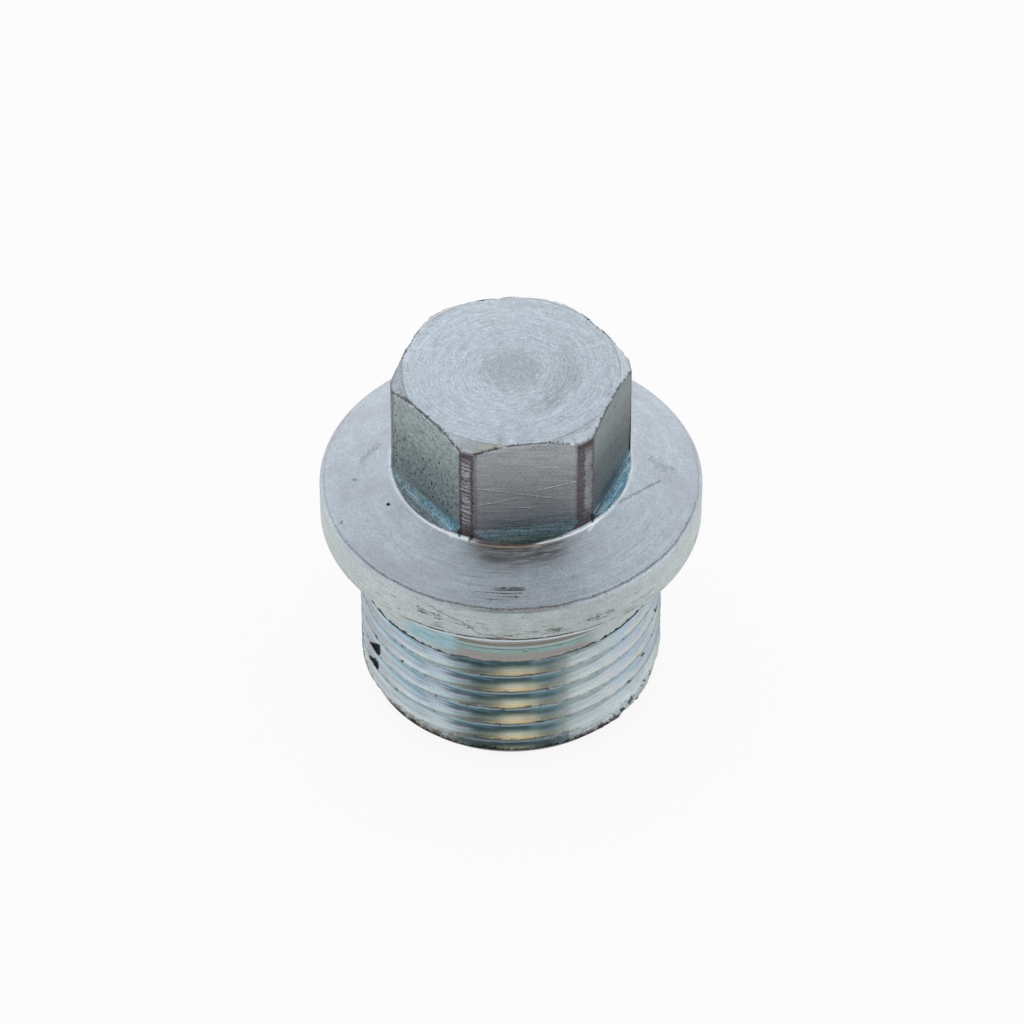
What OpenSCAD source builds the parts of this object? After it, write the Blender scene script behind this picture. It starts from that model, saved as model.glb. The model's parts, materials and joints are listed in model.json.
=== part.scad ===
// Drain plug, turned from one bar: hexagon head, coned collar, plain band and a fine
// right-hand thread. The origin is the centre of the threaded end face, and +Z runs up to
// the head. Flats of the hexagon face -Y and +Y.

/* [Thread] */
// Nominal diameter of the thread
thread_d = 27; // [24:0.5:27.5]
// Distance between neighbouring turns of the thread
thread_pitch = 2; // [1.5:0.25:2.5]
// How far the crests lie under the nominal diameter, across the whole diameter
crest_allowance = 0.4; // [0.1:0.05:0.6]
// Height of the coned lead-in at the end of the thread
lead_in_h = 2.65; // [2:0.05:4]
// Diameter of the flat end face
end_face_d = 23.9; // [19:0.1:24]
// How far the cutter withdraws round the shank to end the thread, in degrees
runout_angle = 110; // [60:5:180]
// Height of the first full turn's upper crest edge below the collar, at the -Y side
first_turn_drop = 5.7; // [5:0.1:8]

/* [Shank] */
// Length of the shank, from the end face to the underside of the collar
shank_l = 18.3; // [16:0.1:40]
// Length of the plain band between the thread and the collar
band_l = 4.3; // [3:0.1:4.5]
// How far the plain band stands above the crests
band_proud = 0.05; // [0.03:0.01:0.1]

/* [Collar] */
// Outer diameter of the collar
collar_d = 33.3; // [30:0.1:60]
// Height of the collar's straight rim
rim_h = 3.75; // [1.5:0.05:10]
// Rise of the coned top, from the rim to the foot of the head
cone_rise = 1.85; // [0.5:0.05:4]
// Size of the small edge breaks on the rim
edge_break = 0.25; // [0.1:0.05:0.5]

/* [Head] */
// Distance across the flats of the hexagon
hex_af = 18.7; // [18:0.1:19.5]
// Diameter over the turned corners of the hexagon
corner_d = 20.72; // [20:0.01:20.8]
// Height of the head, from the top of the collar's cone to the top face
head_h = 10.7; // [5:0.1:20]
// How far the chamfer on the upper corners reaches in from them
corner_chamfer_w = 0.98; // [0.86:0.02:2.86]
// Slope of that chamfer, in degrees
corner_chamfer_angle = 36; // [15:1:45]
// Nose radius of the cutter that mills the flats
cutter_nose_r = 1.2; // [0.5:0.1:1.5]
// Radius of the turned fillet at the foot of the corners
foot_fillet_r = 0.3; // [0.15:0.05:0.5]
// Height of the milled floor above the top of the collar's cone
floor_lift = 0.08; // [0.05:0.01:0.12]

/* [Hidden] */
$fn = 96;

// Basic triangle of a 60 degree thread, and the rounded root that its cutter leaves
triangle_h = thread_pitch * cos(30);
crest_flat = thread_pitch / 8;
root_r = triangle_h / 6;
root_centre_depth = triangle_h * 13 / 24;
thread_depth = root_centre_depth + root_r;
crest_r = (thread_d - crest_allowance) / 2;
root_angles = [-60, -20, 20, 60];
// One groove as pairs of height and depth, from its lower crest edge to its upper one
groove = concat(
    [[-(thread_pitch - crest_flat) / 2, 0]],
    [for (a = root_angles) [root_r * sin(a), root_centre_depth + root_r * cos(a)]],
    [[(thread_pitch - crest_flat) / 2, 0]]
);
groove_points = len(groove);
steps = 48;

// Heights along the axis
thread_top = shank_l - band_l;
collar_top = shank_l + rim_h;
foot_z = collar_top + cone_rise;
top_z = foot_z + head_h;

// The groove's middle stands at first_groove_z at the -Y side on the last full turn
front_angle = 270;
first_groove_z = shank_l - first_turn_drop - (thread_pitch - crest_flat) / 2;
base_z = first_groove_z - thread_pitch * front_angle / 360;
turns_below = ceil(base_z / thread_pitch) + 2;
turns_above = ceil((thread_top - base_z) / thread_pitch) + 2;
turns = turns_below + turns_above;
start_z = base_z - turns_below * thread_pitch;
// The cutter begins to withdraw when it has passed the -Y side by this angle
full_past_front = 100;
withdraw_start = turns_below * 360 + front_angle + full_past_front;

band_r = crest_r + band_proud;
corner_r = corner_d / 2;
foot_r = corner_r + foot_fillet_r;
collar_r = collar_d / 2;
top_face_r = corner_r - corner_chamfer_w;
chamfer_drop = corner_chamfer_w * tan(corner_chamfer_angle);
lead_slope = (crest_r - end_face_d / 2) / lead_in_h;
// How far the cutting shapes reach past what they cut
over = 1;

// Share of the thread's depth that the withdrawing cutter no longer reaches
function withdrawn(turned) = min(1, max(0, (turned - withdraw_start) / runout_angle));

// A point of the thread, on row i of the groove's outline and step j round the shank
function thread_point(i, j) =
    let (turn = floor(i / groove_points) + j / steps,
         p = groove[i % groove_points],
         r = crest_r - max(0, p[1] - thread_depth * withdrawn(turn * 360)),
         a = 360 * j / steps)
    [r * cos(a), r * sin(a), start_z + thread_pitch * turn + p[0]];

// A rod with the thread's full form, longer than the shank at both ends
module thread_rod() {
    rows = turns * groove_points;
    points = concat(
        [for (i = [0 : rows - 1], j = [0 : steps - 1]) thread_point(i, j)],
        [[0, 0, start_z], [0, 0, start_z + thread_pitch * turns]]
    );
    low_centre = rows * steps;
    high_centre = low_centre + 1;
    function at(i, j) = j < steps ? i * steps + j : (i + groove_points) * steps;
    function last_row(j) = j < steps - 1 ? rows - 1 : rows - 1 - groove_points;
    sides = [for (i = [0 : rows - 2], j = [0 : steps - 1]) if (i < last_row(j))
        each [[at(i, j), at(i + 1, j), at(i + 1, j + 1)], [at(i, j), at(i + 1, j + 1), at(i, j + 1)]]];
    low_edge = concat([for (j = [0 : steps - 1]) at(0, j)],
                      [for (i = [groove_points : -1 : 1]) at(i, 0)]);
    high_edge = concat([for (j = [0 : steps - 1]) at(rows - 1, j)],
                       [for (i = [rows - 2 : -1 : rows - 1 - groove_points]) at(i, steps - 1)]);
    low_cap = [for (n = [0 : len(low_edge) - 1])
        [low_centre, low_edge[n], low_edge[(n + 1) % len(low_edge)]]];
    high_cap = [for (n = [0 : len(high_edge) - 1])
        [high_centre, high_edge[(n + 1) % len(high_edge)], high_edge[n]]];
    polyhedron(points = points, faces = concat(sides, low_cap, high_cap));
}

// The rod cut to length, with the coned lead-in at its end
module threaded_shank() {
    intersection() {
        thread_rod();
        rotate_extrude() polygon([
            [0, 0],
            [end_face_d / 2, 0],
            [crest_r + over, lead_in_h + over / lead_slope],
            [crest_r + over, thread_top],
            [0, thread_top]
        ]);
    }
}

// Half section of the turned blank: plain band, collar, foot of the head and round head
module blank_section() {
    overlap = 0.1;
    polygon([
        [0, thread_top],
        [band_r, thread_top],
        [band_r, shank_l],
        [collar_r - edge_break, shank_l],
        [collar_r, shank_l + edge_break],
        [collar_r, collar_top - edge_break],
        [collar_r - edge_break, collar_top],
        [foot_r, foot_z],
        [corner_r, foot_z],
        [corner_r, top_z - chamfer_drop],
        [top_face_r, top_z],
        [0, top_z]
    ]);
    difference() {
        translate([corner_r - overlap, foot_z - overlap])
            square(foot_fillet_r + overlap);
        translate([foot_r, foot_z + foot_fillet_r]) circle(foot_fillet_r);
    }
}

// What the cutter takes off for one flat, with the nose radius at its foot
module flat_cut() {
    reach = corner_r;
    translate([hex_af / 2, 0, foot_z + floor_lift])
        rotate([90, 0, 0])
            linear_extrude(corner_d, center = true) {
                translate([cutter_nose_r, 0]) square([reach, head_h + over]);
                translate([0, cutter_nose_r]) square([reach, head_h + over]);
                translate([cutter_nose_r, cutter_nose_r]) circle(cutter_nose_r);
            }
}

module drain_plug() {
    color([0.72, 0.75, 0.77]) {
        difference() {
            rotate_extrude() blank_section();
            for (k = [0 : 5]) rotate(k * 60 + 30) flat_cut();
        }
        threaded_shank();
    }
}

drain_plug();
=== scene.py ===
"""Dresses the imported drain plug: the same turned, milled and threaded form with worn edges, torn
crests and a zinc finish that changes with the tool that made each surface."""

import contextlib
import json
import math
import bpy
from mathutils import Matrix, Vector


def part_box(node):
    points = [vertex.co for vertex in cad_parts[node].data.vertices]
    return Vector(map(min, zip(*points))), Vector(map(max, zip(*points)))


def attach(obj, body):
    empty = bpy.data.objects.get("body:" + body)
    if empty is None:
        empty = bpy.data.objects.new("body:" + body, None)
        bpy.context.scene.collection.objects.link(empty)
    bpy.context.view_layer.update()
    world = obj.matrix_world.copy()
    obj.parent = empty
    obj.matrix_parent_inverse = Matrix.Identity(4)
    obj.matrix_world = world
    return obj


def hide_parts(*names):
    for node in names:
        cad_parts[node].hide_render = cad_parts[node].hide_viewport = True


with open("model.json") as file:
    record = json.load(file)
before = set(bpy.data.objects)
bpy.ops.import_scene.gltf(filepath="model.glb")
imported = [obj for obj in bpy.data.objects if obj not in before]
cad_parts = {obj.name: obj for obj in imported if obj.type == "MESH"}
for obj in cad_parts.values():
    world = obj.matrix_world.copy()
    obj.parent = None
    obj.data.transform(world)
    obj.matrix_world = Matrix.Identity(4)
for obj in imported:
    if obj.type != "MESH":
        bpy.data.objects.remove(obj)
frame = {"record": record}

from types import SimpleNamespace

import bmesh
import bpy
from bpy.props import FloatProperty, FloatVectorProperty, IntProperty, PointerProperty
from mathutils import Vector, noise

bl_info = {
    "name": "Drain plug",
    "version": (1, 0, 0),
    "blender": (4, 5, 0),
    "location": "3D View > Sidebar > Drain plug",
    "description": "Builds a zinc-plated drain plug with a hexagon head and a fine thread",
    "category": "Object",
}

MM = 0.001
WELD = 1e-7
NODE = "drain_plug"

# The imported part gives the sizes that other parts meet
BOX_LOW, BOX_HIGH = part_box(NODE)
COLLAR_RADIUS = min(BOX_HIGH.x, BOX_HIGH.y, -BOX_LOW.x, -BOX_LOW.y)
MOUNTS = {mount["name"]: mount for mount in frame["record"]["mounts"]}
BAND = MOUNTS["shank_band"]["dims"]
SEAL_Z = MOUNTS["seal_face"]["pos_m"][2]


def length(name, description, default):
    """A property for one of the plug's lengths."""
    return FloatProperty(
        name=name, description=description, default=default, min=0.0, precision=5, unit="LENGTH"
    )


def colour(name, description, default):
    """A property for one colour of the finish."""
    return FloatVectorProperty(
        name=name, description=description, default=default, size=3, min=0.0, max=1.0, subtype="COLOR"
    )


class PlugSizes(bpy.types.PropertyGroup):
    """Sizes of the plug."""

    collar_radius: length("Collar radius", "Outer radius of the collar", COLLAR_RADIUS)
    seal_height: length("Seal height", "Height of the collar's underside", SEAL_Z)
    rim_height: length("Rim height", "Height of the collar's straight rim", 3.75 * MM)
    cone_rise: length("Cone rise", "Rise of the collar's coned top", 1.85 * MM)
    edge_break: length("Edge break", "Size of the edge breaks on the rim", 0.25 * MM)
    total_height: length("Height", "Height of the whole plug", BOX_HIGH.z)
    flat_distance: length("Flat distance", "Distance of the flats from the axis", 9.35 * MM)
    deep_cut: length("Deep cut", "Extra depth of the left front flat", 0.15 * MM)
    corner_radius: length("Corner radius", "Radius of the turned corners", 10.36 * MM)
    top_radius: length("Top radius", "Radius of the flat top face", 9.38 * MM)
    chamfer_drop: length("Chamfer drop", "Height of the chamfer on the corners", 0.712 * MM)
    foot_fillet: length("Foot fillet", "Radius at the foot of the corners", 0.3 * MM)
    floor_lift: length("Floor lift", "Height of the milled floor above the cone", 0.08 * MM)
    cutter_nose: length("Cutter nose", "Radius of the milling cutter's nose", 1.2 * MM)
    band_radius: length("Band radius", "Radius of the plain band", BAND["r_mm"] * MM)
    band_length: length("Band length", "Length of the plain band", BAND["length_mm"] * MM)
    band_proud: length("Band proud", "How far the band stands above the crests", 0.05 * MM)
    pitch: length("Pitch", "Distance between turns of the thread", 2.0 * MM)
    first_turn_drop: length("First turn", "Drop from the collar to the first full turn", 5.7 * MM)
    lead_in: length("Lead-in", "Height of the worn, coned lead-in", 1.95 * MM)
    end_radius: length("End radius", "Radius of the flat end face", 11.95 * MM)
    lead_in_knee: length("Lead-in knee", "Height where the worn lead-in bends", 1.05 * MM)
    lead_in_bulge: length("Lead-in bulge", "Radius of the worn lead-in at its bend", 12.80 * MM)
    worn_edge: length("Worn edge", "Rounding of the worn edges", 0.07 * MM)
    turned_steps: IntProperty(
        name="Turned steps", description="Steps round the turned surfaces", default=256, min=48
    )
    thread_steps: IntProperty(
        name="Thread steps", description="Steps round one turn of the thread", default=288, min=48
    )


class PlugColours(bpy.types.PropertyGroup):
    """Colours of the finish."""

    zinc: colour("Zinc", "Bright zinc on the turned faces", (0.52, 0.58, 0.635))
    milled: colour("Milled zinc", "Duller zinc on the milled flats", (0.335, 0.355, 0.375))
    rim: colour("Rim zinc", "Pale, dull zinc on the collar's rim", (0.45, 0.50, 0.50))
    # Pale zinc also paints highlights: round the foot, under the top edge of the left flat, in light arcs
    # on the cone, along the rim's lower edge, at the top of the band, on the crests in front and on the
    # flanks at the sides.
    pale: colour("Pale zinc", "Lightest zinc, on rubbed places", (0.64, 0.70, 0.75))
    mauve: colour("Mauve film", "Mauve tint of the passive film", (0.45, 0.45, 0.50))
    sky: colour("Light blue film", "Light blue tint on the flanks", (0.44, 0.55, 0.63))
    cream: colour("Cream film", "Cream tint near the crests", (0.60, 0.62, 0.56))
    green: colour("Green film", "Green tint on the plain band", (0.225, 0.35, 0.325))
    beige: colour("Beige film", "Beige tint on the plain band", (0.285, 0.275, 0.265))
    root: colour("Teal film", "Teal tint in the grooves", (0.21, 0.33, 0.38))
    # Gold paints the warm highlight on the foot's fillet at the front.
    gold: colour("Gold film", "Gold tint on the turned foot", (0.55, 0.44, 0.34))
    # Brown also paints shade: the shadow line under the collar on the band, the shadow along the crests in
    # front, and the shade at the lead-in.
    brown: colour("Brown film", "Brown tint on edges and the lead-in", (0.15, 0.12, 0.10))
    corner: colour("Corner film", "Grey-brown film on the turned corners", (0.118, 0.102, 0.110))
    # Navy also paints the shade deep in the grooves in front and at the lead-in.
    navy: colour("Navy film", "Darkest blue, in the grooves and the cutter's radius", (0.095, 0.165, 0.20))
    azure: colour("Clear blue film", "Clear blue in the cutter's radius at the sides", (0.135, 0.28, 0.37))
    olive: colour("Olive film", "Olive tint on the milled floor at the left", (0.185, 0.225, 0.225))
    stain: colour("Brown stain", "Dark brown stain on edges and corners", (0.08, 0.065, 0.065))
    # Black marks also paint shade: the shadow under the front flat's scratches, the shade in the thread's
    # tears and the shade at the lead-in.
    soot: colour("Black marks", "Black pits, scuffs and torn metal", (0.02, 0.022, 0.025))
    floor: colour("Floor", "The pale floor", (0.93, 0.93, 0.93))


def sizes():
    """The sizes of the plug, in metres."""
    return bpy.context.scene.plug_sizes


def crest_radius():
    """Radius over the crests of the thread."""
    s = sizes()
    return s.band_radius - s.band_proud


def colours():
    """The colours of the finish, each with an alpha of 1."""
    group = bpy.context.scene.plug_colours
    return SimpleNamespace(**{name: (*getattr(group, name), 1.0) for name in group.__annotations__})


# Directions of the six flats, and the one that is cut deeper, at the front left
FLAT_ANGLES = [math.radians(30 + 60 * number) for number in range(6)]
DEEP_FLAT = FLAT_ANGLES[3]
# How near a face's normal has to come to one of them to lie on a flat
FACING_FLAT = math.cos(math.radians(2))

# Half a crest and half a groove of the thread, as shares of its pitch
CREST_HALF = 1 / 16
GROOVE_HALF = 1 / 2 - CREST_HALF
# The slope of its flanks: how far they go along the axis for each step outwards
FLANK = math.tan(math.radians(30))
# Shares of a turn: the -Y side, how far past it the cutter stays at full depth, and its way out
FRONT_TURN = 3 / 4
PAST_FRONT = 100 / 360
WITHDRAW_TURNS = 110 / 360


# Modelling by hand


def choose(piece):
    """Makes a piece the only selected object, and the active one."""
    bpy.ops.object.select_all(action="DESELECT")
    piece.select_set(True)
    bpy.context.view_layer.objects.active = piece


@contextlib.contextmanager
def editing(piece, select="DESELECT"):
    """Edit mode on one piece, with nothing of it selected, or all."""
    choose(piece)
    bpy.ops.object.mode_set(mode="EDIT")
    bpy.ops.mesh.select_mode(type="VERT")
    bpy.ops.mesh.select_all(action=select)
    yield bmesh.from_edit_mesh(piece.data)
    bpy.ops.object.mode_set(mode="OBJECT")


def select_points(piece, mesh, test):
    """Selects the vertices that pass a test of their place."""
    for vertex in mesh.verts:
        vertex.select = test(vertex.co)
    mesh.select_flush_mode()
    bmesh.update_edit_mesh(piece.data)


def draw_outline(name, points):
    """A chain of edges in the XZ plane, drawn from one point to the next by extruding."""
    bpy.ops.mesh.primitive_plane_add(size=MM)
    outline = bpy.context.object
    outline.name = outline.data.name = name
    with editing(outline, "SELECT"):
        bpy.ops.mesh.merge(type="CENTER")
        first = points[0]
        bpy.ops.transform.translate(value=(first[0], 0, first[1]))
        for start, end in zip(points, points[1:]):
            step = (end[0] - start[0], 0, end[1] - start[1])
            bpy.ops.mesh.extrude_region_move(TRANSFORM_OT_translate={"value": step})
    return outline


def round_corner(outline, point, offset, segments):
    """Rounds one corner of an outline by a vertex bevel."""
    corner = Vector((point[0], 0, point[1]))
    with editing(outline) as mesh:
        select_points(outline, mesh, lambda place: (place - corner).length < MM / 100)
        bpy.ops.mesh.bevel(
            offset=offset, offset_type="OFFSET", segments=segments, profile=0.5, affect="VERTICES"
        )


def weld(piece):
    """Merges doubles and turns the faces outwards."""
    with editing(piece, "SELECT"):
        bpy.ops.mesh.remove_doubles(threshold=WELD)
        bpy.ops.mesh.normals_make_consistent(inside=False)


def turn(outline, steps):
    """Spins an outline once round the plug's axis into a closed solid."""
    with editing(outline, "SELECT"):
        bpy.ops.mesh.spin(steps=steps, angle=math.tau, center=(0, 0, 0), axis=(0, 0, 1))
    weld(outline)
    return outline


def combine(piece, tool, operation):
    """Applies a Boolean with a tool, and takes the tool away."""
    choose(piece)
    boolean = piece.modifiers.new(tool.name, "BOOLEAN")
    boolean.operation = operation
    boolean.solver = "EXACT"
    boolean.object = tool
    bpy.ops.object.modifier_apply(modifier=boolean.name)
    bpy.data.objects.remove(tool)


def turned_blank():
    """The plug before milling and threading: plain band, collar and round head."""
    s = sizes()
    thread_top = s.seal_height - s.band_length
    collar_top = s.seal_height + s.rim_height
    foot = collar_top + s.cone_rise
    foot_radius = s.corner_radius + s.foot_fillet
    low_corner = (s.collar_radius, s.seal_height)
    rim_high = (s.collar_radius, collar_top - s.edge_break)
    cone_edge = (s.collar_radius - s.edge_break, collar_top)
    foot_corner = (s.corner_radius, foot)
    chamfer_low = (s.corner_radius, s.total_height - s.chamfer_drop)
    chamfer_high = (s.top_radius, s.total_height)
    band_corner = (s.band_radius, s.seal_height)
    mid_rim = (s.collar_radius, s.seal_height + s.rim_height / 2)
    mid_cone = ((s.collar_radius + foot_radius) / 2, collar_top + s.cone_rise / 2)
    blank = draw_outline(
        "plug_finished",
        [
            (0, thread_top),
            (s.band_radius, thread_top),
            band_corner,
            low_corner,
            mid_rim,
            rim_high,
            cone_edge,
            mid_cone,
            foot_corner,
            chamfer_low,
            chamfer_high,
            (s.top_radius / 2, s.total_height),
            (0, s.total_height),
        ],
    )
    round_corner(blank, foot_corner, s.foot_fillet, 5)
    round_corner(blank, low_corner, s.edge_break, 6)
    for corner in (rim_high, cone_edge):
        round_corner(blank, corner, s.worn_edge, 3)
    return turn(blank, s.turned_steps)


def milled_hexagon(blank):
    """Mills the six flats into the head, each by a cutter with a nose radius."""
    s = sizes()
    foot = s.seal_height + s.rim_height + s.cone_rise + s.floor_lift
    depth = 2.5 * MM
    above = 2 * MM
    height = s.total_height + above - foot
    for angle in FLAT_ANGLES:
        distance = s.flat_distance - (s.deep_cut if angle == DEEP_FLAT else 0)
        bpy.ops.mesh.primitive_cube_add(
            size=1,
            location=(distance + depth / 2, 0, foot + height / 2),
            scale=(depth, s.corner_radius, height),
        )
        cutter = bpy.context.object
        cutter.name = "flat_cutter"
        bpy.ops.object.transform_apply(location=True, rotation=False, scale=True)
        with editing(cutter) as mesh:
            nose = Vector((distance, 0, foot))
            select_points(
                cutter, mesh, lambda p: abs(p.x - nose.x) < WELD and abs(p.z - nose.z) < WELD
            )
            bpy.ops.mesh.bevel(offset=s.cutter_nose, segments=10, profile=0.5, affect="EDGES")
            bpy.ops.mesh.select_all(action="SELECT")
            bpy.ops.transform.rotate(value=-angle, orient_axis="Z", center_override=(0, 0, 0))
        combine(blank, cutter, "DIFFERENCE")


def thread_rod():
    """A rod with the thread's full form. Its grooves run out below the plain band."""
    s = sizes()
    crest = crest_radius()
    triangle = s.pitch * math.cos(math.radians(30))
    crest_half = s.pitch * CREST_HALF
    groove_half = s.pitch * GROOVE_HALF
    root = triangle / 6
    apex_depth = groove_half / FLANK
    front_groove = s.seal_height - s.first_turn_drop - groove_half
    groove_at_zero = front_groove - s.pitch * FRONT_TURN
    turns, turns_below = 9, 6.5
    low = groove_at_zero - s.pitch * turns_below
    edge_low = (crest, low + crest_half)
    edge_high = (crest, low + s.pitch - crest_half)
    apex = (crest - apex_depth, low + s.pitch / 2)
    # Two points near the crest on each flank keep the worn crest from bending the whole flank
    depths = (0.16 * MM, 0.22 * MM)
    steps = [depth * FLANK for depth in depths]
    lower = [(crest - depth, edge_low[1] + step) for depth, step in zip(depths, steps)]
    upper = [(crest - depth, edge_high[1] - step) for depth, step in zip(depths, steps)]
    outline = [(crest, low), edge_low, *lower, apex, *reversed(upper), edge_high]
    rod = draw_outline("thread_rod", [*outline, (crest, low + s.pitch)])
    round_corner(rod, apex, root / FLANK, 8)
    for corner in (edge_low, edge_high):
        round_corner(rod, corner, 0.05 * MM, 3)
    choose(rod)
    screw = rod.modifiers.new("screw", "SCREW")
    screw.axis = "Z"
    screw.angle = math.tau
    screw.screw_offset = s.pitch
    screw.iterations = turns
    screw.steps = screw.render_steps = s.thread_steps
    screw.use_merge_vertices = True
    screw.merge_threshold = WELD
    bpy.ops.object.modifier_apply(modifier=screw.name)
    run_out(rod, crest, triangle, groove_at_zero)
    over = 0.4 * MM
    for height, keep_above in ((-over, True), (s.seal_height - s.band_length + over, False)):
        with editing(rod, "SELECT"):
            bpy.ops.mesh.bisect(
                plane_co=(0, 0, height),
                plane_no=(0, 0, 1),
                use_fill=True,
                clear_inner=keep_above,
                clear_outer=not keep_above,
                threshold=WELD,
            )
    weld(rod)
    return rod


def run_out(rod, crest, triangle, groove_at_zero):
    """Withdraws the cutter at the end of the thread, and roughens the crests."""
    s = sizes()
    # The rounded root leaves 17 parts in 24 of the basic triangle's height
    full_depth = triangle * 17 / 24
    withdraw_start = FRONT_TURN + PAST_FRONT
    for vertex in rod.data.vertices:
        x, y, z = vertex.co
        around = math.atan2(y, x) / math.tau % 1.0
        turned = (z - groove_at_zero) / s.pitch
        local = (turned - around + 0.5) % 1.0 - 0.5
        last_turn = turned - local
        radius = math.hypot(x, y)
        share = min(1.0, max(0.0, (last_turn - withdraw_start) / WITHDRAW_TURNS))
        depth = max(0.0, crest - radius - full_depth * share)
        if depth < 0.1 * MM:
            depth += crest_wear(Vector((x, y, z)), local)
        scale = (crest - depth) / radius
        vertex.co.x *= scale
        vertex.co.y *= scale


def crest_wear(place, local):
    """How far a point of a crest lies inwards from its true place: worn, nicked or torn up."""
    coarse = noise.noise(place / (0.9 * MM))
    fine = noise.noise(place / (0.35 * MM))
    wear = max(0.0, coarse - 0.12) * 0.18 * MM
    wear += max(0.0, fine - 0.35) * 0.25 * MM
    last_edge = place.z > 12.0 * MM and abs(local - GROOVE_HALF) < 0.03
    low_right = place.z < 5 * MM and place.x > 7 * MM and place.y < 2 * MM
    if last_edge or low_right:
        wear -= max(0.0, fine + 0.15) * (0.10 * MM if low_right else 0.08 * MM)
    return wear


TORN_PLACES = (
    # Point of the tear, middle of its wide end, and half its width
    ((-12.95, -2.85, 6.30), (-12.50, -4.20, 6.66), 0.32),
    ((-13.05, -2.60, 4.25), (-12.65, -4.00, 4.56), 0.30),
    ((-13.33, 0.75, 4.45), (-13.30, 0.0, 4.30), 0.22),
    ((-13.33, 0.65, 2.6), (-13.30, -0.1, 2.45), 0.2),
    ((12.20, -5.60, 9.15), (12.15, -5.2, 9.3), 0.16),
    ((10.62, -7.00, 5.35), (10.9, -7.1, 5.6), 0.2),
)


def tear(piece):
    """Cuts pointed tears out of the crests."""
    for point, wide_end, half_width in TORN_PLACES:
        point, wide_end = Vector(point) * MM, Vector(wide_end) * MM
        run = point - wide_end
        bpy.ops.mesh.primitive_cone_add(
            vertices=5,
            radius1=half_width * MM,
            radius2=0,
            depth=run.length,
            location=(point + wide_end) / 2,
            rotation=run.to_track_quat("Z", "Y").to_euler(),
        )
        cutter = bpy.context.object
        cutter.name = "tear"
        with editing(cutter, "SELECT"):
            bpy.ops.mesh.subdivide(number_cuts=2, fractal=0.4 * half_width, seed=3)
        combine(piece, cutter, "DIFFERENCE")


def lead_in_slopes():
    """Slopes of the worn lead-in, below its bend and above it."""
    s = sizes()
    low_slope = s.lead_in_knee / (s.lead_in_bulge - s.end_radius)
    high_slope = (s.lead_in - s.lead_in_knee) / (crest_radius() - s.lead_in_bulge)
    return low_slope, high_slope


def lead_in_height(radius):
    """Height of the lead-in at a radius: it bends, because its edges are worn."""
    s = sizes()
    return s.lead_in_knee + max((radius - s.lead_in_bulge) * slope for slope in lead_in_slopes())


def threaded_shank():
    """The thread rod cut to length, with the coned lead-in at its end."""
    s = sizes()
    outside = crest_radius() + MM
    top = s.seal_height
    end_edge = (s.end_radius, 0)
    sleeve = draw_outline(
        "lead_in",
        [
            (0, 0),
            end_edge,
            (s.lead_in_bulge, s.lead_in_knee),
            (outside, lead_in_height(outside)),
            (outside, top),
            (0, top),
        ],
    )
    round_corner(sleeve, end_edge, 0.12 * MM, 3)
    turn(sleeve, s.turned_steps)
    rod = thread_rod()
    combine(rod, sleeve, "INTERSECT")
    tear(rod)
    return rod


def operator(operation, reflected=False):
    """A method that adds the Math node of one of Python's operators."""

    def add_node(value, *other):
        operands = (*other, value) if reflected else (value, *other)
        return value.nodes.math(operation, *operands)

    return add_node


class Value:
    """A number in a material. Python's arithmetic on it adds Math nodes."""

    def __init__(self, nodes, socket):
        self.nodes = nodes
        self.socket = socket

    __add__ = __radd__ = operator("ADD")
    __sub__ = operator("SUBTRACT")
    __rsub__ = operator("SUBTRACT", reflected=True)
    __mul__ = __rmul__ = operator("MULTIPLY")
    __truediv__ = operator("DIVIDE")
    __rtruediv__ = operator("DIVIDE", reflected=True)
    __mod__ = operator("FLOORED_MODULO")
    __abs__ = operator("ABSOLUTE")
    __gt__ = operator("GREATER_THAN")


# The sockets of a Mix node that mixes colours
MIX_FACTOR, MIX_A, MIX_B, MIX_COLOUR = 0, 6, 7, 2


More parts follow.
